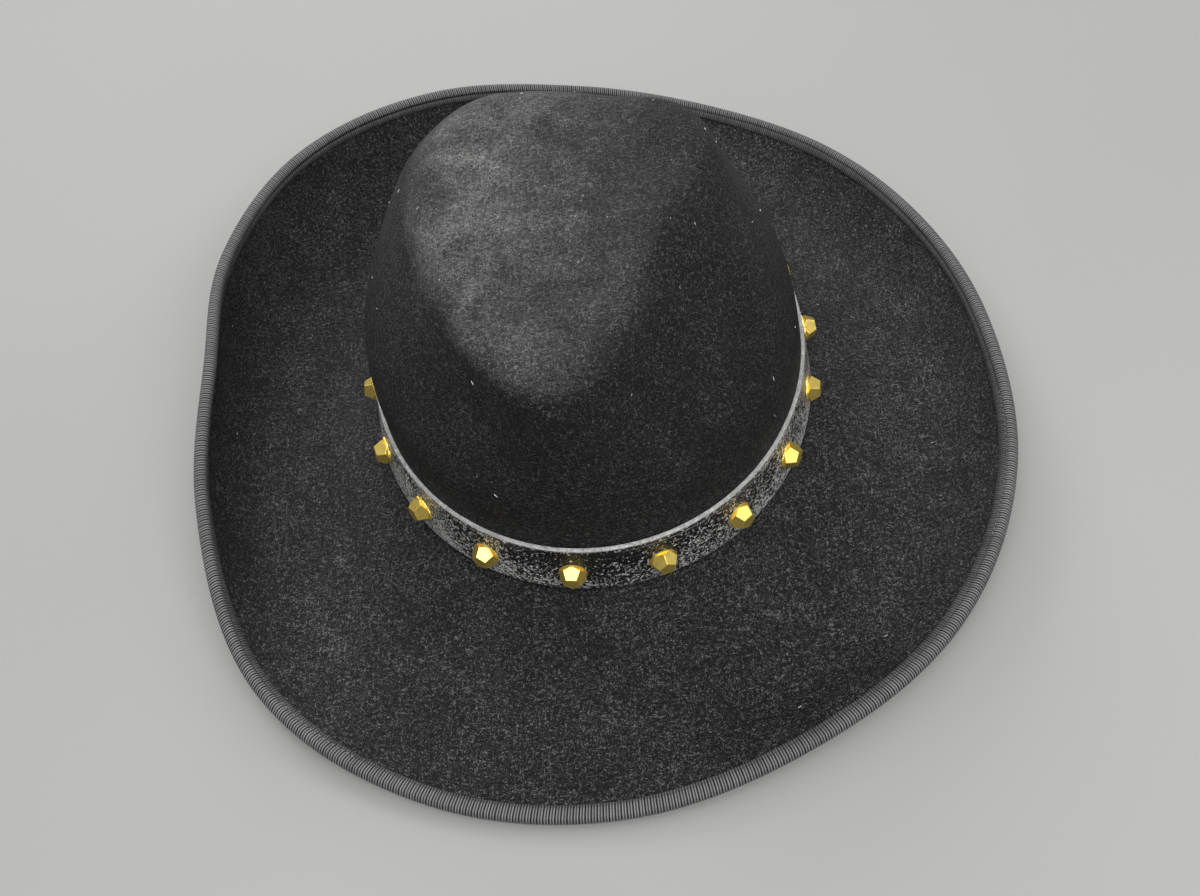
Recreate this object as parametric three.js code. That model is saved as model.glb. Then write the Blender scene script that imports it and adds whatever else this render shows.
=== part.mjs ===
import * as THREE from "three";

// Wide-brim felt hat, brim down on the floor.
// Millimetres, +Z up, the front of the hat faces -Y.
// Every shape is laid out from the middle of the head, then the whole is centred at the end.
// An azimuth of 0 degrees points to +X, 90 to the back, 180 to -X and 270 to the front.

// Felt
const feltThick = 2.2;
const feltGrey = 0x17171a;

// Head oval, measured on the outer face of the felt
const footHalfWide = 87.4;
const footHalfLong = 99.8;
const bandTopHalfWide = 83.3;
const bandTopHalfLong = 98.2;

// The band's lower edge is higher in front than at the back
const bandFootMean = 13.5;
const bandFootRise = 5.0;
const bandTall = 25.5;
const bandThick = 1.5;
const bandBulge = 0.1;
const bandClear = 0.3;

// Crown: a long plateau with a raised edge, pinched on both sides of the nose.
// Distances out are from the middle of the top; heights are above the floor.
// Crisp tells how sharply the edge turns, and sag how far the top hangs below a straight line
// from the edge to the middle.
const topMiddle = { x: -8, y: -4, high: 117 };
const wallHigh = 66;
const wallDraw = 0.972;
const wallShift = 0.25;
const sideShift = 0.5;
const dishOut = 0.52;
const crown = [
  { az: 0, edgeOut: 50, edgeHigh: 119.5, sideOut: 66.5, sideHigh: 98, crisp: 0.1, sag: 2.5 },
  { az: 22.5, edgeOut: 62, edgeHigh: 118, sideOut: 69, sideHigh: 97, crisp: -0.1, sag: 2.3 },
  { az: 45, edgeOut: 65, edgeHigh: 117, sideOut: 76, sideHigh: 96, crisp: -0.1, sag: 1.6 },
  { az: 67.5, edgeOut: 57, edgeHigh: 115.5, sideOut: 75, sideHigh: 96.5, crisp: 0, sag: 0.8 },
  { az: 90, edgeOut: 58, edgeHigh: 116, sideOut: 76, sideHigh: 96.8, crisp: 0, sag: 0.3 },
  { az: 112.5, edgeOut: 60, edgeHigh: 117, sideOut: 80, sideHigh: 96.8, crisp: 0, sag: 0.3 },
  { az: 135, edgeOut: 53, edgeHigh: 117.5, sideOut: 77.5, sideHigh: 96, crisp: 0, sag: 0.5 },
  { az: 157.5, edgeOut: 44, edgeHigh: 118, sideOut: 69, sideHigh: 96, crisp: 0, sag: 1 },
  { az: 180, edgeOut: 38.5, edgeHigh: 118, sideOut: 65, sideHigh: 95.5, crisp: 0.1, sag: 1 },
  { az: 202.5, edgeOut: 38, edgeHigh: 117.5, sideOut: 64.5, sideHigh: 95, crisp: 0.2, sag: 0.8 },
  { az: 225, edgeOut: 46, edgeHigh: 115.5, sideOut: 69, sideHigh: 93.5, crisp: 0.3, sag: 0.6 },
  { az: 247.5, edgeOut: 63, edgeHigh: 112.5, sideOut: 76, sideHigh: 91.5, crisp: 0.3, sag: 0.3 },
  { az: 270, edgeOut: 75.5, edgeHigh: 110.5, sideOut: 88, sideHigh: 91, crisp: 0, sag: 0.3 },
  { az: 292.5, edgeOut: 60.5, edgeHigh: 115.3, sideOut: 75, sideHigh: 92, crisp: 0.45, sag: 1 },
  { az: 315, edgeOut: 47.5, edgeHigh: 119.5, sideOut: 68, sideHigh: 92.5, crisp: 0.55, sag: 2 },
  { az: 337.5, edgeOut: 45, edgeHigh: 121, sideOut: 67.5, sideHigh: 96, crisp: 0.45, sag: 2.5 },
];

// Brim: the turn at the crown's foot, then where it lies flat, as fractions of its width
const footDrop = 4.4;
const footTurn = 3.2;
const flatFrom = 0.42;
const flatTo = 0.6;
const curlStart = 0.42;
const curlEnd = 0.38;

// Rim of the brim, to the outside of the ribbon: distance out, height, edge slope in degrees
const rim = [
  { az: 0, out: 160, high: 28, slope: 58 },
  { az: 22.5, out: 159.5, high: 23, slope: 56 },
  { az: 45, out: 164, high: 18, slope: 52 },
  { az: 67.5, out: 170, high: 14, slope: 50 },
  { az: 90, out: 177, high: 18, slope: 55 },
  { az: 112.5, out: 179, high: 32, slope: 66 },
  { az: 135, out: 178, high: 39, slope: 76 },
  { az: 157.5, out: 166, high: 42, slope: 92 },
  { az: 180, out: 151.5, high: 46, slope: 103 },
  { az: 202.5, out: 162, high: 36, slope: 90 },
  { az: 225, out: 181, high: 17, slope: 46 },
  { az: 247.5, out: 184, high: 7, slope: 18 },
  { az: 270, out: 182, high: 6, slope: 8 },
  { az: 292.5, out: 178, high: 13, slope: 14 },
  { az: 315, out: 177, high: 17, slope: 24 },
  { az: 337.5, out: 170, high: 22, slope: 42 },
];

// Ribbon folded over the rim
const ribbonThick = 0.6;
const ribbonClear = 0.3;
const ribbonReach = 5.4;
const ribbonGroove = 0.4;
const ribbonGrey = 0x3c3e42;

// Studs on the band
const studCount = 18;
const studStart = -10;
const studAcross = 10.4;
const studTall = 5.0;
const studClear = 0.3;
const studUp = 0.46;

// How finely the surfaces are cut
const turns = 72;
const crownCuts = [2, 4, 4, 3, 2];
const curlRings = 4;

const rad = Math.PI / 180;

function cubic(a, b, c, d, f) {
  // smooth value between b and c
  const bend = 2 * a - 5 * b + 4 * c - d;
  const last = -a + 3 * b - 3 * c + d;
  return b + 0.5 * (c - a) * f + 0.5 * bend * f * f + 0.5 * last * f * f * f;
}

function eased(a, b, c, d, f, leave, arrive) {
  // the same, with the slope at b and at c made shorter or longer
  const g = 1 - f;
  const slopes = 0.5 * (c - a) * leave * f * g * g - 0.5 * (d - b) * arrive * f * f * g;
  return (1 + 2 * f) * g * g * b + (1 + 2 * g) * f * f * c + slopes;
}

function around(table, column, az) {
  // smooth value between the rows of a table that goes round once
  const n = table.length;
  const at = ((((az % 360) + 360) % 360) / 360) * n;
  const i = Math.floor(at);
  const row = (k) => table[(i + k + n) % n][column];
  return cubic(row(-1), row(0), row(1), row(2), at - i);
}

function oval(wide, long, az) {
  const c = Math.cos(az * rad) / wide;
  const s = Math.sin(az * rad) / long;
  return 1 / Math.sqrt(c * c + s * s);
}

function bandFootHigh(az) {
  return bandFootMean - bandFootRise * Math.sin(az * rad);
}

function wallLine(az, up, off) {
  // a point on the band zone: up the wall from the band's lower edge, off the felt
  const r0 = oval(footHalfWide, footHalfLong, az);
  const r1 = oval(bandTopHalfWide, bandTopHalfLong, az);
  const f = up / bandTall;
  const z0 = bandFootHigh(az);
  return [r0 + (r1 - r0) * f + off, z0 + up];
}

function bezier(p, t) {
  const u = 1 - t;
  const w = [u * u * u, 3 * u * u * t, 3 * u * t * t, t * t * t];
  let r = 0;
  let z = 0;
  for (let i = 0; i < 4; i += 1) {
    r += w[i] * p[i][0];
    z += w[i] * p[i][1];
  }
  return [r, z];
}

function curlHandles(az, inset) {
  // middle of the felt from the flat ring out to the rim
  const foot = oval(footHalfWide, footHalfLong, az);
  const out = around(rim, "out", az);
  const high = around(rim, "high", az);
  const slope = around(rim, "slope", az) * rad;
  const endR = out - inset * Math.abs(Math.cos(slope)) - ribbonThick * Math.abs(Math.sin(slope));
  const endZ = high - inset * Math.sin(slope);
  const startR = foot + (out - foot) * flatTo;
  const startZ = feltThick / 2;
  const chord = Math.hypot(endR - startR, endZ - startZ);
  const back = chord * curlEnd;
  const a = [startR + chord * curlStart, startZ];
  const b = [endR - back * Math.cos(slope), endZ - back * Math.sin(slope)];
  return [[startR, startZ], a, b, [endR, endZ]];
}

function curlPoint(handles, t, off) {
  // a point beside the curve, off to its upper side
  const e = 0.001;
  const a = bezier(handles, Math.max(0, t - e));
  const b = bezier(handles, Math.min(1, t + e));
  const p = bezier(handles, t);
  const dr = b[0] - a[0];
  const dz = b[1] - a[1];
  const len = Math.hypot(dr, dz);
  return [p[0] - (dz / len) * off, p[1] + (dr / len) * off];
}

function tAtReach(handles, reach) {
  // the curve's parameter at a given distance back from its end
  let gone = 0;
  let last = bezier(handles, 1);
  for (let i = 1; i <= 200; i += 1) {
    const t = 1 - i / 200;
    const p = bezier(handles, t);
    gone += Math.hypot(p[0] - last[0], p[1] - last[1]);
    last = p;
    if (gone >= reach) return t;
  }
  return 0;
}

function curlSteps(handles) {
  // where the curl is cut: even steps up to the ribbon's hem, then the ribbon's own corners
  const hem = tAtReach(handles, ribbonReach);
  const list = [];
  for (let i = 0; i <= curlRings; i += 1) list.push((hem * i) / curlRings);
  list.push(tAtReach(handles, ribbonReach * ribbonGroove), 1);
  return list;
}

function crownControls(az) {
  // the crown's profile at one azimuth: band zone, wall, side, raised edge, dish, middle
  const at = (share, out, high) => {
    const x = topMiddle.x * share + out * Math.cos(az * rad);
    const y = topMiddle.y * share + out * Math.sin(az * rad);
    return new THREE.Vector3(x, y, high);
  };
  const edge = around(crown, "edgeOut", az);
  const edgeHigh = around(crown, "edgeHigh", az);
  const bandTop = wallLine(az, bandTall, 0);
  const wall = bandTop[0] * wallDraw;
  const dishHigh = (edgeHigh + topMiddle.high) / 2 - around(crown, "sag", az);
  return [
    at(0, ...wallLine(az, 0, 0)),
    at(0, ...bandTop),
    at(wallShift, wall, wallHigh),
    at(sideShift, around(crown, "sideOut", az), around(crown, "sideHigh", az)),
    at(1, edge, edgeHigh),
    at(1, edge * dishOut, dishHigh),
    at(1, 0, topMiddle.high),
    at(1, -edge * dishOut, dishHigh),
  ];
}

function crownPoint(az, step) {
  // outer face of the crown, from the band's top edge at step 0 to the middle of the top at 5
  const c = crownControls(az);
  const i = Math.min(4, Math.floor(step));
  const f = step - i;
  const turn = 1 - around(crown, "crisp", az);
  const leave = i === 3 ? turn : 1;
  const arrive = i === 2 ? turn : 1;
  const mix = (k) => eased(c[i][k], c[i + 1][k], c[i + 2][k], c[i + 3][k], f, leave, arrive);
  return new THREE.Vector3(mix("x"), mix("y"), mix("z"));
}

function crownInner(az, step) {
  // the same point pushed in by the thickness of the felt
  const p = crownPoint(az, step);
  if (step > 4.99) return p.add(new THREE.Vector3(0, 0, -feltThick));
  const e = 0.02;
  const along = crownPoint(az + 0.5, step).sub(crownPoint(az - 0.5, step));
  const up = crownPoint(az, step + e).sub(crownPoint(az, Math.max(0, step - e)));
  const n = along.cross(up).normalize();
  return p.addScaledVector(n, -feltThick);
}

function polar(az, p) {
  return new THREE.Vector3(p[0] * Math.cos(az * rad), p[0] * Math.sin(az * rad), p[1]);
}

function brimSlope(az) {
  // the stretch from the crown's foot down to the flat ring
  const [r0, z0] = wallLine(az, 0, 0);
  const flatR = r0 + (around(rim, "out", az) - r0) * flatFrom;
  return { r0, z0, flatR, run: flatR - r0 - footTurn, drop: z0 - footDrop - feltThick };
}

function brimOuter(az) {
  // upper face, from the foot of the crown out to the rim
  const { r0, z0, flatR, run, drop } = brimSlope(az);
  const list = [
    [r0, z0 - 0.8],
    [r0 + footTurn * 0.25, z0 - 2.6],
    [r0 + footTurn, z0 - 4.0],
    [r0 + footTurn + run * 0.4, feltThick + drop * 0.62],
    [r0 + footTurn + run * 0.75, feltThick + drop * 0.14],
    [flatR, feltThick],
  ];
  const handles = curlHandles(az, ribbonThick + ribbonClear);
  for (const t of curlSteps(handles)) list.push(curlPoint(handles, t, feltThick / 2));
  return list;
}

function brimUnder(az) {
  // lower face, from the rim back to the inside of the crown's foot
  const { r0, z0, flatR, run, drop } = brimSlope(az);
  const handles = curlHandles(az, ribbonThick + ribbonClear);
  const list = [];
  for (const t of curlSteps(handles).reverse()) {
    list.push(curlPoint(handles, t, -feltThick / 2));
  }
  list.push([flatR, 0]);
  list.push([r0 + footTurn + run * 0.7, drop * 0.17]);
  list.push([r0 + footTurn + run * 0.3, drop * 0.68]);
  list.push([r0 - 0.4, z0 - footDrop - 1]);
  list.push([r0 - feltThick, z0 - footTurn]);
  return list;
}

function skin(rings, name, colour, rough, metal) {
  // rings of points joined into one closed skin; a single point closes an end
  const pos = [];
  const idx = [];
  const starts = [];
  for (const ring of rings) {
    starts.push(pos.length / 3);
    for (const p of ring) pos.push(p.x, p.y, p.z);
  }
  const closed = rings[0].length > 1;
  const pairs = closed ? rings.length : rings.length - 1;
  for (let k = 0; k < pairs; k += 1) {
    const a = rings[k];
    const b = rings[(k + 1) % rings.length];
    const sa = starts[k];
    const sb = starts[(k + 1) % rings.length];
    const n = Math.max(a.length, b.length);
    for (let i = 0; i < n; i += 1) {
      const j = (i + 1) % n;
      if (a.length === 1) {
        idx.push(sa, sb + i, sb + j);
      } else if (b.length === 1) {
        idx.push(sa + i, sb, sa + j);
      } else {
        idx.push(sa + i, sb + i, sb + j);
        idx.push(sa + i, sb + j, sa + j);
      }
    }
  }
  const g = new THREE.BufferGeometry();
  g.setAttribute("position", new THREE.Float32BufferAttribute(pos, 3));
  g.setIndex(idx);
  g.computeVertexNormals();
  const m = new THREE.MeshStandardMaterial({ color: colour, roughness: rough, metalness: metal });
  const mesh = new THREE.Mesh(g, m);
  mesh.name = name;
  return mesh;
}

function ringOf(pointAt) {
  const ring = [];
  for (let i = 0; i < turns; i += 1) ring.push(pointAt((i * 360) / turns));
  return ring;
}

function crownSteps() {
  // where the crown is cut, from the band's top edge up
  const list = [];
  crownCuts.forEach((n, k) => {
    for (let i = 0; i < n; i += 1) list.push(k + i / n);
  });
  return list;
}

function feltBody() {
  const steps = crownSteps();
  const rings = [[crownPoint(0, 5)]];
  for (const step of steps.slice().reverse()) rings.push(ringOf((az) => crownPoint(az, step)));
  const brimCount = brimOuter(0).length;
  for (let i = 0; i < brimCount; i += 1) rings.push(ringOf((az) => polar(az, brimOuter(az)[i])));
  const underCount = brimUnder(0).length;
  for (let i = 0; i < underCount; i += 1) rings.push(ringOf((az) => polar(az, brimUnder(az)[i])));
  for (const step of steps) rings.push(ringOf((az) => crownInner(az, step)));
  rings.push([crownInner(0, 5)]);
  return skin(rings, "felt_body", feltGrey, 0.96, 0);
}

function hatBand() {
  const face = bandClear + bandThick;
  const corners = [
    [bandTall - bandClear, bandClear],
    [bandTall - bandClear, face],
    [bandTall * 0.5, face + bandBulge],
    [bandClear, face],
    [bandClear, bandClear],
  ];
  const rings = corners.map(([up, off]) => ringOf((az) => polar(az, wallLine(az, up, off))));
  return skin(rings, "hat_band", 0x26262a, 0.6, 0);
}

function brimBinding() {
  const near = feltThick / 2 + ribbonClear;
  const far = near + ribbonThick;
  const section = (az) => {
    const handles = curlHandles(az, ribbonThick + ribbonClear);
    const back = tAtReach(handles, ribbonReach);
    const mid = tAtReach(handles, ribbonReach * ribbonGroove);
    const end = bezier(handles, 1);
    const slope = around(rim, "slope", az) * rad;
    const tip = (along, off) => [
      end[0] + along * Math.cos(slope) - off * Math.sin(slope),
      end[1] + along * Math.sin(slope) + off * Math.cos(slope),
    ];
    return [
      curlPoint(handles, back, far),
      curlPoint(handles, mid, far),
      curlPoint(handles, 1, far),
      tip(ribbonClear + ribbonThick, near * 0.75),
      tip(ribbonClear + ribbonThick, -near * 0.75),
      curlPoint(handles, 1, -far),
      curlPoint(handles, mid, -far),
      curlPoint(handles, back, -far),
      curlPoint(handles, back, -near),
      curlPoint(handles, mid, -near),
      tip(ribbonClear, -near),
      tip(ribbonClear, near),
      curlPoint(handles, mid, near),
      curlPoint(handles, back, near),
    ];
  };
  const count = section(0).length;
  const rings = [];
  for (let i = 0; i < count; i += 1) rings.push(ringOf((az) => polar(az, section(az)[i])));
  return skin(rings, "brim_binding", ribbonGrey, 0.8, 0);
}

function studPlaces() {
  // azimuths of the studs, stepped off along the outside of the band from the front
  const fine = 3600;
  const at = (az) => polar(az, wallLine(az, bandTall * studUp, bandClear + bandThick));
  const along = [0];
  for (let i = 1; i <= fine; i += 1) {
    along.push(along[i - 1] + at((i * 360) / fine).distanceTo(at(((i - 1) * 360) / fine)));
  }
  const whole = along[fine];
  const front = along[fine * 0.75];
  const list = [];
  for (let k = 0; k < studCount; k += 1) {
    const s = (front + studStart + (whole * k) / studCount) % whole;
    let i = 0;
    while (along[i + 1] < s) i += 1;
    list.push(((i + (s - along[i]) / (along[i + 1] - along[i])) * 360) / fine);
  }
  return list;
}

function stud(number, az) {
  const name = "stud_" + String(number).padStart(2, "0");
  const face = bandClear + bandThick + bandBulge;
  const base = polar(az, wallLine(az, bandTall * studUp, face));
  const above = polar(az, wallLine(az, bandTall * studUp + 1, face));
  const side = polar(az + 0.5, wallLine(az + 0.5, bandTall * studUp, face));
  const up = above.sub(base).normalize();
  const right = side.sub(base).normalize();
  const out = right.clone().cross(up).normalize();
  const place = (x, y, h) =>
    base.clone().addScaledVector(right, x).addScaledVector(up, y).addScaledVector(out, h + studClear);
  const spin = number * 37 * rad;
  const hoop = (radius, h, turn) => {
    const ring = [];
    for (let i = 0; i < 5; i += 1) {
      const a = spin + (i + turn) * 72 * rad;
      ring.push(place(radius * Math.cos(a), radius * Math.sin(a), h));
    }
    return ring;
  };
  const half = studAcross / 2;
  const rings = [
    [place(0, 0, studTall)],
    hoop(half * 0.5, studTall, 0),
    hoop(half * 0.86, studTall * 0.74, 0),
    hoop(half, studTall * 0.42, 0.5),
    hoop(half * 0.84, studTall * 0.08, 0.5),
    hoop(half * 0.8, 0, 0.5),
    [place(0, 0, 0)],
  ];
  return skin(rings, name, 0xd2a83c, 0.25, 1);
}

const hat = new THREE.Group();
hat.name = "wide_brim_hat";
hat.add(feltBody());
hat.add(hatBand());
hat.add(brimBinding());
studPlaces().forEach((az, k) => hat.add(stud(k + 1, az)));

// The origin is the middle of the hat's outline, on the floor
const outline = new THREE.Box3().setFromObject(hat);
const middle = outline.getCenter(new THREE.Vector3());
hat.position.set(-middle.x, -middle.y, -outline.min.z);

export default hat;
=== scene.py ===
import math
import random
import bpy
import numpy as np
from mathutils import Matrix, Vector, noise


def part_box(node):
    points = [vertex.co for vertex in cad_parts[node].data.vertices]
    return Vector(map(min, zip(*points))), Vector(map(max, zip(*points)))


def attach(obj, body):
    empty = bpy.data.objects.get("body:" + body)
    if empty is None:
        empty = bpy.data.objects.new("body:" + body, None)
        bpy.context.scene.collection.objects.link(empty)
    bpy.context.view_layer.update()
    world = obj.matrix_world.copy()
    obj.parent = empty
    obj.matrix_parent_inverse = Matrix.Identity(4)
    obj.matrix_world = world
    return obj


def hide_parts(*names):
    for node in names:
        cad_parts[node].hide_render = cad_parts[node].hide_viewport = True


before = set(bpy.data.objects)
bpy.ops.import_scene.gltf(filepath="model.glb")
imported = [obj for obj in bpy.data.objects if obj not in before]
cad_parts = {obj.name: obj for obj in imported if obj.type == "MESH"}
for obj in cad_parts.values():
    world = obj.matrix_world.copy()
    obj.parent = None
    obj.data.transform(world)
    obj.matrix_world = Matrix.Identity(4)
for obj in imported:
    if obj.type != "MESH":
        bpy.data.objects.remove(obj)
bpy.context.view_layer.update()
mm = 0.001

# The hat was laid out round the middle of the head, and the band's box still has that middle
bandLow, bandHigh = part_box("hat_band")
headMiddle = Vector(((bandLow[0] + bandHigh[0]) / 2, (bandLow[1] + bandHigh[1]) / 2, 0))
print("frame loaded, head middle", tuple(round(v, 5) for v in headMiddle))

# Camera, where the photograph was taken from
hatView = {
    "place": (0.01962, -0.30129, 0.40887),
    "look": (-0.04399, 0.55891, -0.82806),
    "roll": 8.6,        # degrees
    "lens": 36.0,
    "sensor": 36.0,
    "nearest": 0.01,
}
forward = Vector(hatView["look"]).normalized()
side = forward.cross(Vector((0, 0, 1))).normalized()
above = side.cross(forward)
roll = math.radians(hatView["roll"])
right = side * math.cos(roll) - above * math.sin(roll)
top = side * math.sin(roll) + above * math.cos(roll)
cameraData = bpy.data.cameras.new("hat_view")
cameraData.lens = hatView["lens"]
cameraData.sensor_width = hatView["sensor"]
cameraData.clip_start = hatView["nearest"]
camera = bpy.data.objects.new("hat_view", cameraData)
turned = Matrix((right, top, -forward)).transposed().to_4x4()
camera.matrix_world = Matrix.Translation(hatView["place"]) @ turned
bpy.context.collection.objects.link(camera)
bpy.context.scene.camera = camera
print("camera placed")


# Small helpers for nodes
def addNode(tree, kind, inputs=None, **options):
    node = tree.nodes.new(kind)
    for name, value in options.items():
        setattr(node, name, value)
    for name, value in (inputs or {}).items():
        if isinstance(value, bpy.types.NodeSocket):
            tree.links.new(value, node.inputs[name])
        else:
            node.inputs[name].default_value = value
    return node


def sums(tree, operation, a, b=0.5):
    return addNode(tree, "ShaderNodeMath", {0: a, 1: b}, operation=operation).outputs[0]


def timesPlus(tree, a, b, c):
    return addNode(tree, "ShaderNodeMath", {0: a, 1: b, 2: c}, operation="MULTIPLY_ADD").outputs[0]


def between(tree, value, low, high):
    # 0 at low, 1 at high
    sockets = {"Value": value, "From Min": low, "From Max": high}
    return addNode(tree, "ShaderNodeMapRange", sockets).outputs[0]


def weighed(tree, shares):
    # sum of sockets, each times its weight
    total = None
    for socket, weight in shares:
        if total is None:
            total = sums(tree, "MULTIPLY", socket, weight)
        else:
            total = timesPlus(tree, socket, weight, total)
    return total


def ramp(tree, factor, stops):
    # stops are (place, grey or colour)
    node = addNode(tree, "ShaderNodeValToRGB", {0: factor})
    marks = node.color_ramp.elements
    while len(marks) < len(stops):
        marks.new(0.5)
    for mark, (place, shade) in zip(marks, stops):
        mark.position = place
        mark.color = (shade, shade, shade, 1) if isinstance(shade, (int, float)) else (*shade, 1)
    return node.outputs[0]


def blendColour(tree, factor, a, b, mode="MIX"):
    node = addNode(tree, "ShaderNodeMix", {0: factor, 6: a, 7: b}, data_type="RGBA", blend_type=mode)
    return node.outputs[2]


def cloud(tree, where, scale, detail=2.0, rough=0.5, twist=0.0):
    sockets = {"Vector": where, "Scale": scale, "Detail": detail, "Roughness": rough, "Distortion": twist}
    return addNode(tree, "ShaderNodeTexNoise", sockets).outputs[0]


def newMaterial(name, **values):
    material = bpy.data.materials.new(name)
    material.use_nodes = True
    tree = material.node_tree
    shader = tree.nodes["Principled BSDF"]
    for socket, value in values.items():
        shader.inputs[socket.replace("_", " ")].default_value = value
    return material, tree, shader


def bump(tree, height, strength, distance):
    sockets = {"Height": height, "Strength": strength, "Distance": distance}
    return addNode(tree, "ShaderNodeBump", sockets).outputs[0]


# Small helpers for meshes
solid = {
    "mergeWithin": 0.01 * mm,
    "fan": 20,              # spokes at a vertex, past which its triangles stay as they are
}


def startPiece(piece):
    bpy.ops.object.select_all(action="DESELECT")
    bpy.context.view_layer.objects.active = piece
    piece.select_set(True)


def copyOfNode(node, name, keepFans=False):
    # the CAD solid's loose triangles, merged and paired up into quads again
    piece = bpy.data.objects.new(name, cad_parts[node].data.copy())
    bpy.context.collection.objects.link(piece)
    piece.data.materials.clear()
    startPiece(piece)
    bpy.ops.object.mode_set(mode="EDIT")
    bpy.ops.mesh.customdata_custom_splitnormals_clear()
    bpy.ops.mesh.select_all(action="SELECT")
    bpy.ops.mesh.remove_doubles(threshold=solid["mergeWithin"])
    bpy.ops.object.mode_set(mode="OBJECT")
    mesh = piece.data
    spokes = [0] * len(mesh.vertices)
    for edge in mesh.edges:
        for v in edge.vertices:
            spokes[v] += 1
    for face in mesh.polygons:
        face.select = not (keepFans and any(spokes[v] > solid["fan"] for v in face.vertices))
    for item in list(mesh.vertices) + list(mesh.edges):
        item.select = False
    bpy.ops.object.mode_set(mode="EDIT")
    bpy.ops.mesh.select_mode(type="FACE")
    bpy.ops.mesh.tris_convert_to_quads(
        face_threshold=math.pi, shape_threshold=math.pi, topology_influence=2.0,
    )
    bpy.ops.object.mode_set(mode="OBJECT")
    return piece


def smoothOver(piece, rounds):
    startPiece(piece)
    modifier = piece.modifiers.new("rounding", "SUBSURF")
    modifier.levels = modifier.render_levels = rounds
    bpy.ops.object.modifier_apply(modifier="rounding")
    bpy.ops.object.shade_smooth()


# Felt body: crown, dents and brim in one shell
felt = {
    "rounding": 2,
    "unevenHigh": 0.45 * mm,    # how far the surface wanders
    "unevenWide": 38 * mm,
    "unevenSeed": 4,                # without a seed the waviness is another one on each run
    "dark": (0.0013, 0.0013, 0.0014),
    "middle": (0.0062, 0.0062, 0.0061),
    "pale": (0.026, 0.026, 0.0254),
    "hair": (0.085, 0.085, 0.083),
    # the crown top's paler tone: dust, with a painted highlight on the lit top-left
    "dust": (0.09, 0.09, 0.0882),
    "dustAndLightFrom": (0.107, 0.116),     # height where the dust and painted highlight start, and where they are full
    "dustAndLightSide": (0.03, -0.03),      # and the same from right to left
    "spread": (1.30, 1.69),         # noise sums that give the darkest and the palest hair
    "paintedLightFrom": (0.03, 0.06),       # heights between the brim's painted light and the crown's painted shade
    "worn": ((1.32, 1.32, 1.32, 1), (0.80, 0.80, 0.80, 1)),         # the brim's, painted paler, and the crown's, painted darker
    "level": 0.012,                 # height over which the waviness comes in
}


def feltMaterial():
    material, tree, shader = newMaterial(
        "black_felt_cloth", Sheen_Weight=0.01, Sheen_Roughness=0.5, Specular_IOR_Level=0.22
    )
    shader.inputs["Sheen Tint"].default_value = (0.8, 0.8, 0.78, 1)
    where = addNode(tree, "ShaderNodeTexCoord").outputs["Object"]
    patches = cloud(tree, where, 24, 3, 0.55, 0.4)
    smudges = cloud(tree, where, 95, 3, 0.6)
    tangled = cloud(tree, where, 960, 3, 0.62, 1.1)
    grain = cloud(tree, where, 2100, 2, 0.6)
    # hairs lie every way: two stretched noises crossed
    lies = []
    for spin, stretch in (((0.3, 0.5, 0.9), (230, 1900, 1400)), ((0.9, 0.2, 2.3), (1800, 260, 1500))):
        lie = addNode(tree, "ShaderNodeMapping", {"Vector": where, "Rotation": spin, "Scale": stretch})
        lies.append(cloud(tree, lie.outputs[0], 1, 2, 0.6, 0.8))
    hairs = sums(tree, "MAXIMUM", *lies)
    shares = [(patches, 0.13), (smudges, 0.13), (tangled, 1.10), (hairs, 0.70), (grain, 0.85)]
    spread = between(tree, weighed(tree, shares), *felt["spread"])
    stops = [(0.0, felt["dark"]), (0.5, felt["middle"]), (0.85, felt["pale"]), (1.0, felt["hair"])]
    tone = ramp(tree, spread, stops)
    # dust and a painted highlight lie on top of the crown, in soft blotches, most of them on the left
    # where the light falls
    parts = addNode(tree, "ShaderNodeSeparateXYZ", {0: where})
    onTop = between(tree, parts.outputs[2], *felt["dustAndLightFrom"])
    onLeft = between(tree, parts.outputs[0], *felt["dustAndLightSide"])
    dustAndLightMask = sums(tree, "MULTIPLY", onTop, onLeft)
    blotches = ramp(tree, cloud(tree, where, 55, 3, 0.55, 0.5), [(0.35, 0.25), (0.68, 1.0)])
    dustAndHighlight = blendColour(tree, sums(tree, "MULTIPLY", dustAndLightMask, blotches), (0, 0, 0, 1), (*felt["dust"], 1))
    speckled = blendColour(tree, spread, (0.35, 0.35, 0.35, 1), (1.7, 1.7, 1.7, 1))
    dustAndHighlight = blendColour(tree, 1.0, dustAndHighlight, speckled, "MULTIPLY")
    # painted light and shade: the brim is painted paler and the crown darker
    high = between(tree, parts.outputs[2], *felt["paintedLightFrom"])
    worn = blendColour(tree, high, *felt["worn"])
    tone = blendColour(tree, 1.0, tone, worn, "MULTIPLY")
    tree.links.new(blendColour(tree, 1.0, tone, dustAndHighlight, "ADD"), shader.inputs["Base Color"])
    tree.links.new(ramp(tree, spread, [(0.1, 0.72), (0.9, 0.54)]), shader.inputs["Roughness"])
    nap = weighed(tree, [(tangled, 0.6), (hairs, 0.5), (grain, 0.3)])
    tree.links.new(bump(tree, nap, 1.0, 0.001), shader.inputs["Normal"])
    return material


feltCloth = feltMaterial()
hatFelt = copyOfNode("felt_body", "hat_felt", keepFans=True)
smoothOver(hatFelt, felt["rounding"])
noise.seed_set(felt["unevenSeed"])
for vertex in hatFelt.data.vertices:
    wander = noise.noise_vector(vertex.co / felt["unevenWide"])
    share = min(1.0, max(0.0, vertex.co.z / felt["level"]))      # the ring that it lies on stays flat
    vertex.co += wander * felt["unevenHigh"] * share
hatFelt.data.materials.append(feltCloth)
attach(hatFelt, "root")
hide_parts("felt_body")
print("felt body", len(hatFelt.data.polygons))

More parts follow.
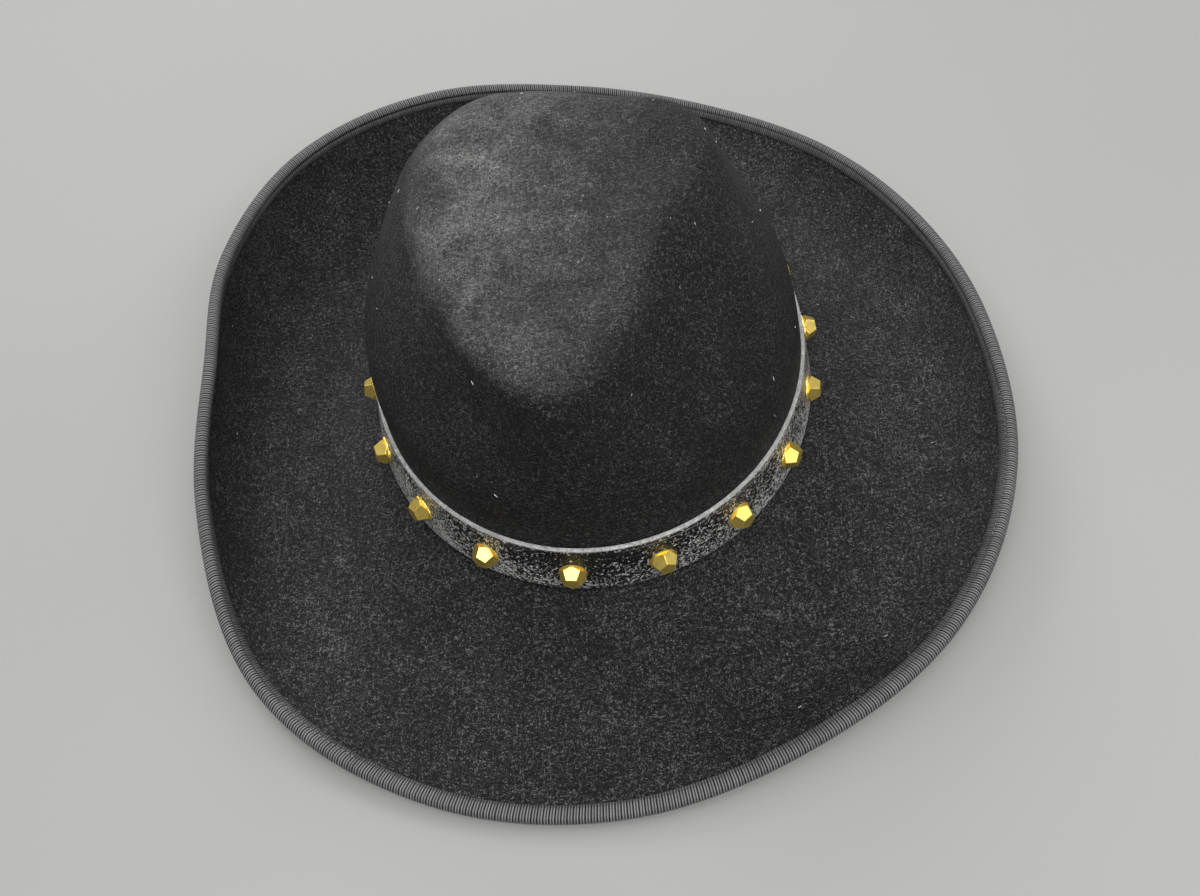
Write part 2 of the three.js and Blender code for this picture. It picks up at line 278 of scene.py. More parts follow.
# Band: black leather cloth rubbed silver, with a pale cut edge along the top
band = {
    "footHalf": (87.4, 99.8),       # half width and half length of the head oval, mm
    "topHalf": (83.3, 98.2),
    "footMean": 13.5,
    "footRise": 5.0,
    "tall": 25.5,
    "edgeRound": 0.32 * mm,
    "rounding": 3,
    "meanReach": 0.094,             # turns the azimuth into a length round the band, m
    "sides": (0.02, 0.07),          # distance from the middle over which the silver gets heavier
    "rubFrom": (0.865, 0.885),      # noise sums between bare leather and silver
    "sharp": 50,                    # degrees, past which an edge is rounded
    "longEdge": 0.85,               # how nearly an edge runs round the band to count as a long one
}


def oval(halves, azimuth):
    c = math.cos(azimuth) / halves[0]
    s = math.sin(azimuth) / halves[1]
    return 1 / math.sqrt(c * c + s * s)


def bandPoint(azimuth, up, off):
    # a point on the band's slope, in metres
    foot = oval(band["footHalf"], azimuth)
    reach = foot + (oval(band["topHalf"], azimuth) - foot) * up / band["tall"] + off
    high = band["footMean"] - band["footRise"] * math.sin(azimuth) + up
    return headMiddle + Vector((reach * math.cos(azimuth), reach * math.sin(azimuth), high)) * mm


def bandMap(place):
    # how far round and how far up the band a point is, in metres
    x, y = place.x - headMiddle.x, place.y - headMiddle.y
    azimuth = math.atan2(y, x)
    up = place.z - (band["footMean"] - band["footRise"] * math.sin(azimuth)) * mm
    return azimuth * band["meanReach"], up


def leatherMaterial():
    material, tree, shader = newMaterial("worn_leather_cloth", Specular_IOR_Level=0.4)
    where = addNode(tree, "ShaderNodeTexCoord").outputs["Object"]
    across = addNode(tree, "ShaderNodeUVMap", uv_map="bandMap").outputs[0]
    up = addNode(tree, "ShaderNodeSeparateXYZ", {0: across}).outputs[1]
    share = sums(tree, "DIVIDE", up, band["tall"] * mm)
    # the rub is heavy near the foot and comes and goes; the band is also made more silver towards the
    # sides of the hat
    heights = [(0.0, 0.56), (0.12, 0.50), (0.40, 0.38), (0.7, 0.24), (0.88, 0.2), (0.97, 0.4)]
    wear = ramp(tree, share, heights)
    fromMiddle = sums(tree, "ABSOLUTE", addNode(tree, "ShaderNodeSeparateXYZ", {0: where}).outputs[0])
    beside = between(tree, fromMiddle, *band["sides"])
    patches = cloud(tree, where, 55, 3, 0.6)
    flecks = cloud(tree, where, 930, 2, 0.6, 0.8)
    dust = cloud(tree, where, 3300, 2, 0.6)
    cells = {"Vector": where, "Scale": 620.0, "Randomness": 1.0}
    cracks = addNode(tree, "ShaderNodeTexVoronoi", cells, feature="DISTANCE_TO_EDGE").outputs[0]
    cracked = ramp(tree, cracks, [(0.0, 1.0), (0.10, 0.0)])
    shares = [(flecks, 1.0), (dust, 0.15), (cracked, 0.05), (wear, 0.30), (patches, 0.20), (beside, 0.07)]
    rubbed = between(tree, weighed(tree, shares), *band["rubFrom"])
    # bare top edge, and the pale scored line just under it
    edge = ramp(tree, share, [(0.0, 0.0), (0.945, 0.0), (0.975, 1.0)])
    line = ramp(tree, share, [(0.0, 0.0), (0.875, 0.0), (0.89, 0.55), (0.905, 0.0)])
    line = sums(tree, "MULTIPLY", line, ramp(tree, cloud(tree, where, 16, 1), [(0.42, 0.0), (0.6, 1.0)]))
    bare = sums(tree, "MAXIMUM", edge, line)
    chipped = ramp(tree, cloud(tree, where, 900, 3, 0.7), [(0.25, 0.45), (0.5, 1.0)])
    bare = sums(tree, "MULTIPLY", bare, chipped)
    blacks = (0.004, 0.004, 0.0043, 1), (0.012, 0.012, 0.0123, 1)
    leather = blendColour(tree, cloud(tree, where, 160, 3), *blacks)
    silvers = (0.60, 0.60, 0.60, 1), (0.97, 0.97, 0.95, 1)
    silver = blendColour(tree, ramp(tree, dust, [(0.36, 0.0), (0.62, 1.0)]), *silvers)
    tone = blendColour(tree, rubbed, leather, silver)
    tone = blendColour(tree, bare, tone, (0.50, 0.50, 0.49, 1))
    tree.links.new(tone, shader.inputs["Base Color"])
    gloss = ramp(tree, sums(tree, "MAXIMUM", rubbed, bare), [(0.0, 0.34), (1.0, 0.42)])
    tree.links.new(gloss, shader.inputs["Roughness"])
    tree.links.new(sums(tree, "MULTIPLY", rubbed, 0.5), shader.inputs["Metallic"])
    crumpled = sums(tree, "MULTIPLY", cloud(tree, where, 1400, 2, 0.6), rubbed)
    relief = weighed(tree, [(flecks, 0.4), (crumpled, 1.0), (cracked, -0.15)])
    tree.links.new(bump(tree, relief, 1.0, 0.0009), shader.inputs["Normal"])
    return material


wornLeather = leatherMaterial()
hatBand = copyOfNode("hat_band", "studded_band")
startPiece(hatBand)
bpy.ops.object.mode_set(mode="EDIT")
bpy.ops.mesh.select_mode(type="EDGE")
bpy.ops.mesh.select_all(action="DESELECT")
bpy.ops.mesh.edges_select_sharp(sharpness=math.radians(band["sharp"]))
bpy.ops.mesh.bevel(offset=band["edgeRound"], segments=2, profile=0.5)
bpy.ops.mesh.select_all(action="DESELECT")
bpy.ops.object.mode_set(mode="OBJECT")
for edge in hatBand.data.edges:                 # the long edges, so that the section keeps its shape
    a, b = (hatBand.data.vertices[v].co for v in edge.vertices)
    outward = (a + b) / 2 - headMiddle
    tangent = Vector((-outward.y, outward.x, 0)).normalized()
    edge.select = abs((b - a).normalized().dot(tangent)) > band["longEdge"]
bpy.ops.object.mode_set(mode="EDIT")
bpy.ops.transform.edge_crease(value=1.0)
bpy.ops.object.mode_set(mode="OBJECT")
smoothOver(hatBand, band["rounding"])
mapLayer = hatBand.data.uv_layers.new(name="bandMap")
placed = [bandMap(vertex.co) for vertex in hatBand.data.vertices]
for loop in hatBand.data.loops:
    mapLayer.data[loop.index].uv = placed[loop.vertex_index]
hatBand.data.materials.append(wornLeather)
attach(hatBand, "root")
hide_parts("hat_band")
print("band", len(hatBand.data.polygons))

# Studs: faceted gilt domes in a toothed rim, one made and the rest copied
stud = {
    "count": 18,
    "sides": 5,
    "half": 5.2,
    "tall": 5.0,
    "hoops": [      # share of the half width, share of the height, turn in parts of a facet
        (0.62, 1.00, 0.0), (0.99, 0.36, 0.0), (0.9365, 0.07, 0.5),
    ],
    "merge": 7,     # degrees, under which the hull's faces become one facet
    "soften": 0.1,
    "spin": 37,     # degrees from each stud to the next
    "teeth": 34,    # round the rim; each notch lies at a share of the rim's reach
    "notch": 0.965,
    "topNotch": 0.985,
    "rimHalf": 5.25,
    "rimTall": 0.6,
    "up": 0.46,     # share of the band's height
    "seat": 1.85,   # off the felt, on the band's face
    "middle": 0.42, # share of its height at which its box's middle lies
    "ahead": 0.01,  # radians on round the band, which gives the direction along it
}


def goldMaterial():
    material, tree, shader = newMaterial("gilt_metal", Metallic=0.85)
    where = addNode(tree, "ShaderNodeTexCoord").outputs["Object"]
    cloudy = cloud(tree, where, 420, 3, 0.6)
    tone = ramp(tree, cloudy, [(0.3, (1.0, 0.71, 0.15)), (0.7, (1.0, 0.80, 0.21))])
    tree.links.new(tone, shader.inputs["Base Color"])
    tree.links.new(ramp(tree, cloudy, [(0.3, 0.27), (0.75, 0.32)]), shader.inputs["Roughness"])
    return material


gilt = goldMaterial()
bpy.ops.object.select_all(action="DESELECT")
bpy.ops.mesh.primitive_circle_add(vertices=stud["sides"], radius=stud["half"] * mm, location=(0, 0, 0))
studModel = bpy.context.active_object
studModel.name = "stud_model"
bpy.ops.object.mode_set(mode="EDIT")        # emptied, to be built up from the hoops
bpy.ops.mesh.select_all(action="SELECT")
bpy.ops.mesh.delete(type="VERT")
for share, high, turn in stud["hoops"]:
    bpy.ops.mesh.primitive_circle_add(
        vertices=stud["sides"], radius=stud["half"] * share * mm,
        location=(0, 0, stud["tall"] * high * mm), rotation=(0, 0, 2 * math.pi / stud["sides"] * turn),
    )
bpy.ops.mesh.select_all(action="SELECT")
bpy.ops.mesh.convex_hull()
bpy.ops.mesh.select_all(action="SELECT")
bpy.ops.mesh.dissolve_limited(angle_limit=math.radians(stud["merge"]))
bpy.ops.mesh.select_all(action="SELECT")
bpy.ops.mesh.bevel(offset=stud["soften"] * mm, segments=2, profile=0.6)
# toothed rim
bpy.ops.mesh.select_all(action="DESELECT")
bpy.ops.mesh.primitive_cylinder_add(
    vertices=stud["teeth"] * 2, radius=stud["rimHalf"] * mm, depth=stud["rimTall"] * mm,
    location=(0, 0, stud["rimTall"] / 2 * mm),
)
bpy.ops.object.mode_set(mode="OBJECT")
for vertex in studModel.data.vertices:
    reach = math.hypot(vertex.co.x, vertex.co.y)
    if not vertex.select or reach < 1 * mm:
        continue
    step = round(math.atan2(vertex.co.y, vertex.co.x) / math.pi * stud["teeth"])
    if step % 2 or vertex.co.z > stud["rimTall"] * 0.5 * mm:
        inward = stud["notch"] if step % 2 else stud["topNotch"]
        vertex.co.x *= inward
        vertex.co.y *= inward
startPiece(studModel)
bpy.ops.object.shade_flat()
studModel.data.materials.append(gilt)

for number in range(1, stud["count"] + 1):
    node = "stud_%02d" % number
    low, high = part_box(node)
    middle = (Vector(low) + Vector(high)) / 2 - headMiddle
    azimuth = math.atan2(middle.y, middle.x)
    up = band["tall"] * stud["up"]
    for _ in range(3):      # its middle stands off the wall, so the azimuth is sought by nearness
        base = bandPoint(azimuth, up, stud["seat"] + stud["tall"] * stud["middle"]) - headMiddle
        azimuth += math.atan2(middle.y, middle.x) - math.atan2(base.y, base.x)
    base = bandPoint(azimuth, up, stud["seat"])
    upward = (bandPoint(azimuth, up + 1, stud["seat"]) - base).normalized()
    along = (bandPoint(azimuth + stud["ahead"], up, stud["seat"]) - base).normalized()
    outward = along.cross(upward).normalized()
    turn = Matrix.Rotation(math.radians(number * stud["spin"]), 4, "Z")
    place = Matrix((along, outward.cross(along), outward)).transposed().to_4x4()
    place.translation = base
    gem = bpy.data.objects.new("gilt_" + node, studModel.data.copy())
    gem.data.transform(place @ turn)
    bpy.context.collection.objects.link(gem)
    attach(gem, "root")
    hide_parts(node)
bpy.data.objects.remove(studModel)
print("studs set")

# Ribbon over the rim: fine cross ribs, a sewn crease, and a narrow lip beyond it.
# Its hundreds of ribs follow a rim that turns and rolls all the way round, so its mesh is
# laid section by section along the rim's own table.
ribbon = {
    "ribs": 1060,
    "ribSteps": 4,
    "ribShape": (-1.0, 0.45, 1.0, 0.45),
    "ribHigh": 0.15,
    "feltHalf": 1.1,
    "thick": 0.6,
    "clear": 0.3,
    "flatTo": 0.6,
    "curlStart": 0.42,
    "curlEnd": 0.38,
    # distance out, height, slope in degrees, crease and hem back from the rim, how open the crease is
    "rim": [
        (160.0, 28, 58, 2.9, 5.4, 0.8), (159.5, 23, 56, 2.8, 5.4, 0.6), (164, 18, 52, 2.0, 5.4, 0.15),
        (170, 14, 50, 2.2, 5.4, 0.2), (177, 18, 55, 2.4, 5.4, 0.5), (179, 32, 66, 2.5, 5.4, 0.9),
        (178, 39, 76, 2.6, 5.4, 1.0), (166, 42, 92, 2.7, 5.4, 0.9), (151.5, 46, 103, 2.6, 5.4, 0.8),
        (162, 36, 90, 2.5, 5.4, 0.9), (181, 17, 46, 2.4, 5.4, 0.5), (184, 7, 18, 3.7, 4.8, 0.1),
        (182, 6, 8, 3.9, 4.8, 0.1), (178, 13, 14, 3.1, 4.7, 0.1), (177, 17, 24, 2.7, 5.4, 0.1),
        (170, 22, 42, 2.1, 5.4, 0.35),
    ],
    "joinAt": 23.2,         # degrees, where one end laps over the other
    "joinLap": 3.4,
    "joinHigh": 0.35,
    "seamPoints": (5, 6),   # of the section, where the crease is painted with shade
    "creaseShadeDepth": (0.25, 0.75),       # least painted shade, and what a fully open crease adds
}


def roundTable(column, degrees):
    # smooth value between the rows of a table that goes round once
    rows = np.array([row[column] for row in ribbon["rim"]], float)
    at = (degrees % 360) / 360 * len(rows)
    i = np.floor(at).astype(int)
    f = at - i
    a, b, c, d = (rows[(i + k) % len(rows)] for k in (-1, 0, 1, 2))
    first, second, third = c - a, 2 * a - 5 * b + 4 * c - d, -a + 3 * b - 3 * c + d
    return b + 0.5 * first * f + 0.5 * second * f ** 2 + 0.5 * third * f ** 3


def curlCurve(degrees):
    # the four handles of the felt's middle line, from the flat ring out to the rim
    azimuth = np.radians(degrees)
    foot = 1 / np.hypot(np.cos(azimuth) / band["footHalf"][0], np.sin(azimuth) / band["footHalf"][1])
    out, high = roundTable(0, degrees), roundTable(1, degrees)
    slope = np.radians(roundTable(2, degrees))
    inset = ribbon["thick"] + ribbon["clear"]
    endOut = out - inset * np.abs(np.cos(slope)) - ribbon["thick"] * np.abs(np.sin(slope))
    endHigh = high - inset * np.sin(slope)
    startOut = foot + (out - foot) * ribbon["flatTo"]
    startHigh = np.full_like(out, ribbon["feltHalf"])
    chord = np.hypot(endOut - startOut, endHigh - startHigh)
    back = chord * ribbon["curlEnd"]
    return np.stack([
        np.stack([startOut, startHigh], -1),
        np.stack([startOut + chord * ribbon["curlStart"], startHigh], -1),
        np.stack([endOut - back * np.cos(slope), endHigh - back * np.sin(slope)], -1),
        np.stack([endOut, endHigh], -1),
    ], 1), slope


def alongCurl(handles, t):
    # points and unit directions on the curl, one t for each station
    u = 1 - t
    weights = np.stack([u ** 3, 3 * u * u * t, 3 * u * t * t, t ** 3], -1)
    rates = np.stack([-3 * u * u, 3 * u * u - 6 * u * t, 6 * u * t - 3 * t * t, 3 * t * t], -1)
    points = (weights[:, :, None] * handles).sum(1)
    aim = (rates[:, :, None] * handles).sum(1)
    return points, aim / np.linalg.norm(aim, axis=1)[:, None]


def rimStations(count):
    # azimuths that step evenly along the rim
    fine = np.linspace(0, 360, 7201)
    turn = np.radians(fine)
    out, high = roundTable(0, fine), roundTable(1, fine)
    line = np.stack([out * np.cos(turn), out * np.sin(turn), high], -1)
    gone = np.concatenate([[0], np.cumsum(np.linalg.norm(np.diff(line, axis=0), axis=1))])
    return np.interp(np.arange(count) / count * gone[-1], gone, fine), gone[-1]


def curlTimes(handles, backs):
    # the curve's t at each distance back from the rim; backs is stations by columns
    steps = np.linspace(0.3, 1, 141)
    line = np.stack([alongCurl(handles, np.full(len(handles), t))[0] for t in steps], 1)
    pieces = np.linalg.norm(np.diff(line, axis=1), axis=2)[:, ::-1]
    gone = np.concatenate([np.zeros((len(handles), 1)), np.cumsum(pieces, axis=1)], 1)
    return np.stack([np.interp(back, far, steps[::-1]) for back, far in zip(backs, gone)])


def toWorld(degrees, flat):
    azimuth = np.radians(degrees)
    places = np.stack([flat[:, 0] * np.cos(azimuth), flat[:, 0] * np.sin(azimuth), flat[:, 1]], -1) * mm
    return places + np.array(headMiddle)


def ribbonSections(degrees, ribs):
    # stations by section points; each point is a distance back from the rim and off the felt's middle
    handles, slope = curlCurve(degrees)
    ways = np.radians(degrees)
    wander = np.array([noise.noise(Vector((math.cos(a) * 9, math.sin(a) * 9, 2.5))) for a in ways])
    crease = roundTable(3, degrees) + 0.22 * wander
    hem = roundTable(4, degrees) - 0.15 * wander + 0.05 * ribs
    opened = np.clip(roundTable(5, degrees), 0, 1)
    far = ribbon["feltHalf"] + ribbon["clear"] + ribbon["thick"]
    lap = (degrees - ribbon["joinAt"] + ribbon["joinLap"]) / ribbon["joinLap"]
    lap = np.where((lap > 0) & (lap < 1), np.minimum(1, lap * 2.5), 0) * ribbon["joinHigh"]
    puff = 0.10 + 0.42 * opened + lap
    h = ribbon["ribHigh"]
    touch = ribbon["feltHalf"] + 0.02
    zero = np.zeros_like(degrees)
    points = [          # back, off, rib height, lip share
        (hem, touch + zero, 0, 1), (hem + 0.02, touch + 0.50 + zero, 0.4, 1),
        (hem - 0.28, far - 0.05 + zero, 0.9, 1),
        ((hem + crease) / 2, far + 0.02 + zero, 1, 1),
        (crease + 0.42 + 0.2 * opened, far - 0.04 + zero, 0.8, 1),
        (crease + 0.16 + 0.16 * opened, far - 0.26 - 0.40 * opened, 0.2, 0.5),
        (crease - 0.06, far - 0.30 - 0.46 * opened, 0.1, 0.0),
        (crease - 0.26 - 0.10 * opened, far - 0.05 + puff * 0.2, 0.5, 0),
        (crease - 0.60 - 0.15 * opened, far + puff * 0.85, 1, 0),
        (np.maximum(crease * 0.45, crease - 1.6), far + puff, 1, 0),
        (zero, far + puff * 0.55, 1, 0),
        (zero - 0.62, touch + 0.45 + zero, 1, 0), (zero - 0.97, 0.62 + zero, 1, 0),
        (zero - 1.02, -0.62 + zero, 1, 0), (zero - 0.66, -touch - 0.45 + zero, 1, 0),
        (zero, -far - 0.05 + zero, 1, 0), (crease, -far + zero, 1, 0),
        (hem - 0.25, -far + 0.02 + zero, 0.9, 0),
        (hem, -touch - 0.30 + zero, 0.3, 0), (hem, -touch + zero, 0, 0),
        (zero, -touch - 0.12 + zero, 0, 0), (zero - 0.22, zero, 0, 0), (zero, touch + 0.12 + zero, 0, 0),
    ]
    backs = np.stack([np.maximum(back, 0) for back, _, _, _ in points], 1)
    times = curlTimes(handles, backs)
    rows = []
    for k, (back, off, lift, _) in enumerate(points):
        place, aim = alongCurl(handles, times[:, k])
        over = np.stack([-aim[:, 1], aim[:, 0]], -1)
        past = np.maximum(-back, 0)
        raised = h * lift * ribs
        place = place + over * (off + np.sign(off) * raised * (past < 0.5))[:, None]
        place = place + aim * (past + raised * (past >= 0.5))[:, None]
        rows.append(toWorld(degrees, place))
    # painted shade in the crease, deeper where the crease opens
    creaseShading = ribbon["creaseShadeDepth"][0] + ribbon["creaseShadeDepth"][1] * opened
    seams = np.stack([creaseShading * (k in ribbon["seamPoints"]) for k in range(len(points))], 1)
    lips = np.stack([zero + p[3] for p in points], 1)
    return np.stack(rows, 1), lips, seams


def ribbonMaterial():
    material, tree, shader = newMaterial(
        "ribbed_ribbon", Roughness=0.7, Sheen_Weight=0.05, Sheen_Roughness=0.4, Specular_IOR_Level=0.2
    )
    where = addNode(tree, "ShaderNodeTexCoord").outputs["Object"]
    along = addNode(tree, "ShaderNodeUVMap", uv_map="ribbonMap").outputs[0]
    parts = addNode(tree, "ShaderNodeSeparateXYZ", {0: along})
    lip = addNode(tree, "ShaderNodeAttribute", attribute_name="lip").outputs["Fac"]
    # each rib is its own thread: shade by rib number
    ribPlace = sums(tree, "MULTIPLY", parts.outputs[0], float(ribbon["ribs"]))
    ribNumber = sums(tree, "FLOOR", ribPlace)
    perRib = addNode(tree, "ShaderNodeTexWhiteNoise", {"W": ribNumber}, noise_dimensions="1D").outputs[0]
    patches = cloud(tree, where, 60, 3, 0.6)
    strands = cloud(tree, where, 2600, 2, 0.6)
    factor = weighed(tree, [(perRib, 0.22), (patches, 0.5), (strands, 0.4)])
    body = ramp(tree, factor, [(0.3, (0.140, 0.141, 0.144)), (0.9, (0.245, 0.246, 0.251))])
    worn = ramp(tree, factor, [(0.3, (0.050, 0.050, 0.051)), (0.9, (0.13, 0.131, 0.132))])
    # painted shade in the gaps between the ribs, every second one deeper since the ribs lie in pairs
    gap = sums(tree, "PINGPONG", ribPlace, 0.5)
    pair = sums(tree, "PINGPONG", ribPlace, 1.0)
    shallow = ramp(tree, gap, [(0.0, 0.03), (0.2, 0.35), (0.42, 1.0)])
    deep = ramp(tree, pair, [(0.0, 0.02), (0.45, 1.0)])
    ribShade = sums(tree, "MULTIPLY", shallow, deep)
    body = blendColour(tree, 1.0, body, ribShade, "MULTIPLY")
    worn = blendColour(tree, 0.8, worn, ribShade, "MULTIPLY")
    # painted shade along the crease
    creaseShade = addNode(tree, "ShaderNodeAttribute", attribute_name="creaseShade").outputs["Fac"]
    cloth = blendColour(tree, lip, body, worn)
    creaseShaded = blendColour(tree, sums(tree, "MULTIPLY", creaseShade, 0.92), cloth, (0.003, 0.003, 0.003, 1))
    tree.links.new(creaseShaded, shader.inputs["Base Color"])
    tree.links.new(bump(tree, strands, 0.4, 0.00012), shader.inputs["Normal"])
    return material


def gridMesh(name, places):
    # places is stations by section points by xyz, closed both ways
    count, width = places.shape[:2]
    i, j = np.meshgrid(np.arange(count), np.arange(width), indexing="ij")
    nextI, nextJ = (i + 1) % count, (j + 1) % width
    row, nextRow = i * width, nextI * width
    quads = np.stack([row + j, nextRow + j, nextRow + nextJ, row + nextJ], -1).reshape(-1, 4)
    mesh = bpy.data.meshes.new(name)
    mesh.from_pydata(places.reshape(-1, 3).tolist(), [], quads.tolist())
    mesh.update()
    return mesh


ribCount = ribbon["ribs"] * ribbon["ribSteps"]
stations, rimLength = rimStations(ribCount)
ribWave = np.tile(np.array(ribbon["ribShape"]), ribbon["ribs"])
sections, lipShares, seamShares = ribbonSections(stations, ribWave)
brimRibbon = bpy.data.objects.new("brim_ribbon", gridMesh("brim_ribbon", sections))
bpy.context.collection.objects.link(brimRibbon)
around = sections.shape[1]
for label, shares in (("lip", lipShares), ("creaseShade", seamShares)):
    layer = brimRibbon.data.attributes.new(label, "FLOAT", "POINT")
    layer.data.foreach_set("value", shares.astype(np.float32).ravel())
ribbonLayer = brimRibbon.data.uv_layers.new(name="ribbonMap")
corners = np.empty(len(brimRibbon.data.loops), int)
brimRibbon.data.loops.foreach_get("vertex_index", corners)
station, point = corners // around, corners % around
faceStart = np.repeat(np.arange(len(corners) // 4) * 4, 4)
firstStation = station[faceStart]
uAcross = np.where((station == 0) & (firstStation == ribCount - 1), 1.0, station / ribCount)
ribbonPlaces = np.stack([uAcross, point / around], -1).astype(np.float32)
ribbonLayer.data.foreach_set("uv", ribbonPlaces.ravel())
startPiece(brimRibbon)
bpy.ops.object.mode_set(mode="EDIT")
bpy.ops.mesh.select_all(action="SELECT")
bpy.ops.mesh.normals_make_consistent(inside=False)
bpy.ops.object.mode_set(mode="OBJECT")
bpy.ops.object.shade_smooth()
brimRibbon.data.materials.append(ribbonMaterial())
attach(brimRibbon, "root")
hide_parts("brim_binding")
print("ribbon", len(brimRibbon.data.polygons), "rim length", round(rimLength, 1))

# Thread that shows in the crease where the sewing rides up
sewing = {
    "runs": ((229, 240), (327, 348)),       # degrees
    "pitch": 2.1,
    "half": (0.68 * mm, 0.2 * mm, 0.17 * mm),
    "colour": (0.19, 0.19, 0.187),
    "near": (4, 8),         # section points on both sides of the crease
    "floor": (5, 6),        # and on its floor
    "inward": 0.25,         # how far back from them towards the crease's floor, as a share
}


def plainMaterial(name, colour, rough):
    material, tree, shader = newMaterial(name, Roughness=rough)
    where = addNode(tree, "ShaderNodeTexCoord").outputs["Object"]
    tones = [(0.3, tuple(0.75 * c for c in colour)), (0.7, tuple(min(1, 1.2 * c) for c in colour))]
    tree.links.new(ramp(tree, cloud(tree, where, 900, 2), tones), shader.inputs["Base Color"])
    return material


def joined(pieces, name):
    startPiece(pieces[0])
    for piece in pieces:
        piece.select_set(True)
    bpy.ops.object.join()
    pieces[0].name = pieces[0].data.name = name
    return pieces[0]


bpy.ops.object.select_all(action="DESELECT")
bpy.ops.mesh.primitive_uv_sphere_add(segments=8, ring_count=5, radius=1, location=(0, 0, 0))
stitchModel = bpy.context.active_object
bpy.ops.object.shade_smooth()
stitchModel.data.transform(Matrix.Diagonal((*sewing["half"], 1)))
stitchModel.data.materials.append(plainMaterial("sewing_thread", sewing["colour"], 0.6))
stitches = []
for first, last in sewing["runs"]:
    start, stop = (int(np.searchsorted(stations, v)) for v in (first, last))
    every = sewing["pitch"] / rimLength * ribCount
    for k in np.arange(start, stop, every):
        i = int(k)
        outer, inner = (Vector(sections[i][p]) for p in sewing["near"])
        low, high = sewing["floor"]
        seat = Vector((sections[i][low] + sections[i][high]) / 2)
        ahead, behind = sections[i + ribbon["ribSteps"]], sections[i - ribbon["ribSteps"]]
        along = Vector(ahead[low] - behind[low]).normalized()
        upward = along.cross(inner - outer).normalized()
        if upward.dot((outer + inner) / 2 - seat) < 0:
            upward = -upward
        place = Matrix((along, upward.cross(along), upward)).transposed().to_4x4()
        place.translation = ((outer + inner) / 2).lerp(seat, sewing["inward"])
        stitch = bpy.data.objects.new("stitch", stitchModel.data.copy())
        stitch.data.transform(place)
        bpy.context.collection.objects.link(stitch)
        stitches.append(stitch)
bpy.data.objects.remove(stitchModel)
ribbonStitches = joined(stitches, "ribbon_stitches")
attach(ribbonStitches, "root")
print("stitches", len(stitches))

# Lint: a few pale hairs caught on the felt
lint = {
    "count": 90,
    "long": (0.7, 3.2),     # mm
    "half": 0.055,
    "bends": 5,
    "lift": 0.08 * mm,
    "facing": 0.15,         # least upward slant of the face that a hair lies on
    "curve": 0.9,
    "colour": (0.55, 0.55, 0.53),
    "seed": 11,
}
chance = random.Random(lint["seed"])
bpy.ops.object.select_all(action="DESELECT")
upright = (0, math.radians(90), 0)
bpy.ops.mesh.primitive_circle_add(vertices=4, radius=1, location=(0, 0, 0), rotation=upright)
hairModel = bpy.context.active_object
bpy.ops.object.mode_set(mode="EDIT")
bpy.ops.mesh.select_all(action="SELECT")
for _ in range(lint["bends"]):
    bpy.ops.mesh.extrude_region_move(TRANSFORM_OT_translate={"value": (1, 0, 0)})
bpy.ops.object.mode_set(mode="OBJECT")
hairModel.data.materials.append(plainMaterial("lint_hair", lint["colour"], 0.7))
upper = [face for face in hatFelt.data.polygons if face.normal.z > lint["facing"]]
hairs = []
for _ in range(lint["count"]):
    face = upper[chance.randrange(len(upper))]
    long = chance.uniform(*lint["long"]) * mm
    curve = chance.uniform(-lint["curve"], lint["curve"])
    hair = bpy.data.objects.new("hair", hairModel.data.copy())
    for vertex in hair.data.vertices:
        share = vertex.co.x / lint["bends"]
        thin = lint["half"] * mm * (1 - 0.5 * share)
        bow = curve * long * (share - 0.5) ** 2
        vertex.co = ((share - 0.5) * long, vertex.co.y * thin + bow, vertex.co.z * thin)
    turn = Matrix.Rotation(chance.uniform(0, 2 * math.pi), 4, "Z")
    place = face.normal.to_track_quat("Z", "X").to_matrix().to_4x4()
    place.translation = face.center + face.normal * lint["lift"]
    hair.data.transform(place @ turn)
    bpy.context.collection.objects.link(hair)
    hairs.append(hair)
bpy.data.objects.remove(hairModel)
feltLint = joined(hairs, "felt_lint")
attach(feltLint, "root")
print("lint", len(hairs))

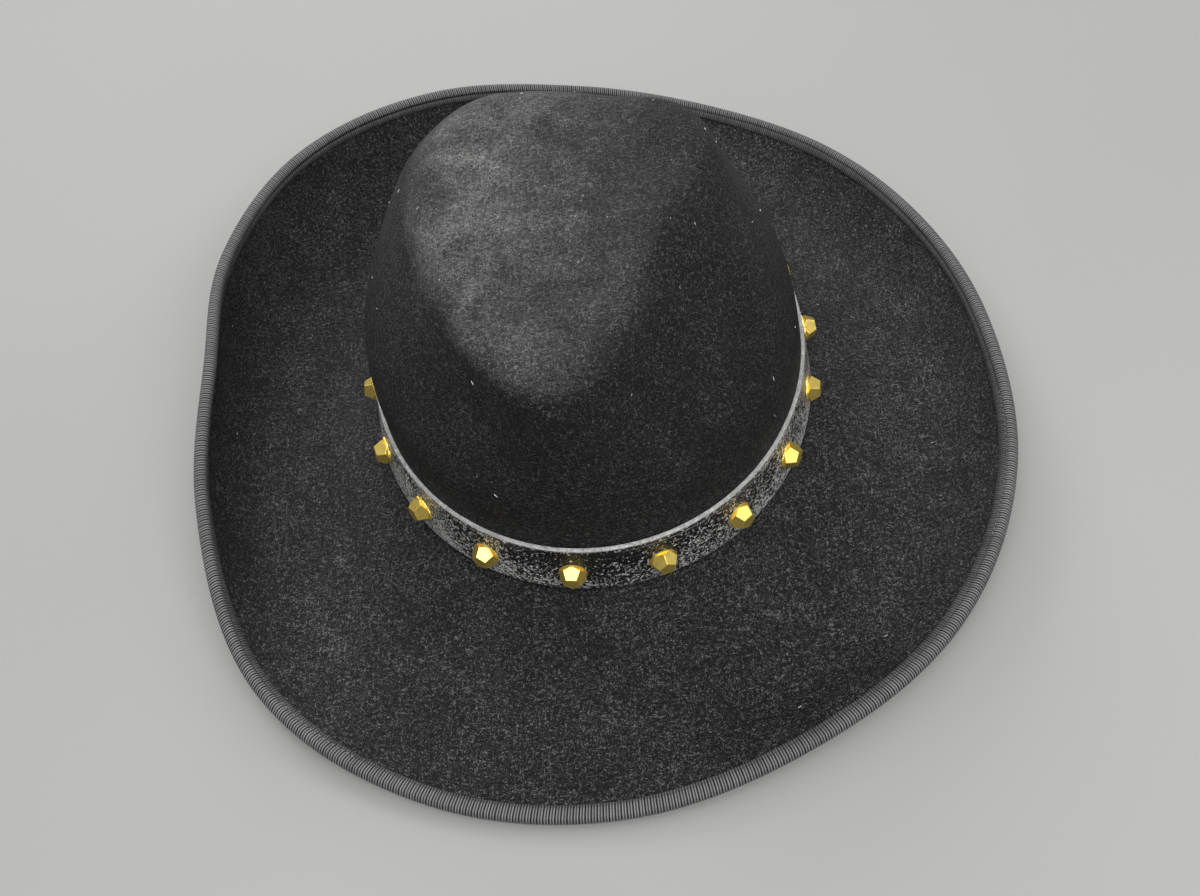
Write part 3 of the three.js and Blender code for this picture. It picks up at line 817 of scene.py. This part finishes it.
# Studio: pale floor and soft lights, most of them from behind and above as in the photograph
studio = {
    "floorSize": 8,
    "floor": ((0.298, 0.295, 0.288), (0.31, 0.307, 0.30)),
    "surround": 0.034,
    "surroundTint": (0.92, 0.95, 1.0, 1),
    # from: azimuth and height in degrees; far and size in metres; power in watts
    "lights": {
        "back_light": {"from": (97, 22), "far": 1.8, "size": 0.8, "power": 11.0},
        "key_light": {"from": (128, 38), "far": 1.8, "size": 0.8, "power": 10.5},
        "overhead_light": {"from": (90, 80), "far": 1.8, "size": 2.4, "power": 22.0},
        "right_light": {"from": (5, 38), "far": 1.8, "size": 0.8, "power": 5.0},
        "front_light": {"from": (270, 66), "far": 1.8, "size": 1.3, "power": 13.0},
        "front_left_light": {"from": (245, 46), "far": 1.8, "size": 0.8, "power": 6.0},
        "front_right_light": {"from": (310, 46), "far": 1.8, "size": 0.8, "power": 12.0},
    },
}
bpy.ops.object.select_all(action="DESELECT")
bpy.ops.mesh.primitive_plane_add(size=studio["floorSize"], location=(0, 0, 0))
floor = bpy.context.active_object
floor.name = "studio_floor"
floorMaterial, floorTree, floorShader = newMaterial("pale_floor", Roughness=0.75)
floorWhere = addNode(floorTree, "ShaderNodeTexCoord").outputs["Object"]
floorStops = [(0.3, studio["floor"][0]), (0.7, studio["floor"][1])]
floorTone = ramp(floorTree, cloud(floorTree, floorWhere, 3, 2), floorStops)
floorTree.links.new(floorTone, floorShader.inputs["Base Color"])
floor.data.materials.append(floorMaterial)

for lightName, light in studio["lights"].items():
    data = bpy.data.lights.new(lightName, "AREA")
    data.shape = "DISK"
    data.size = light["size"]
    data.energy = light["power"]
    azimuth, height = (math.radians(v) for v in light["from"])
    flat = math.cos(height)
    aim = Vector((math.cos(azimuth) * flat, math.sin(azimuth) * flat, math.sin(height)))
    lamp = bpy.data.objects.new(lightName, data)
    lamp.location = aim * light["far"]
    lamp.rotation_euler = aim.to_track_quat("Z", "Y").to_euler()
    bpy.context.collection.objects.link(lamp)
world = bpy.data.worlds.new("studio_surround")
bpy.context.scene.world = world
world.use_nodes = True
backdrop = world.node_tree.nodes["Background"]
backdrop.inputs[0].default_value = studio["surroundTint"]
backdrop.inputs[1].default_value = studio["surround"]
bpy.context.scene.view_settings.view_transform = "Standard"
print("studio lit")
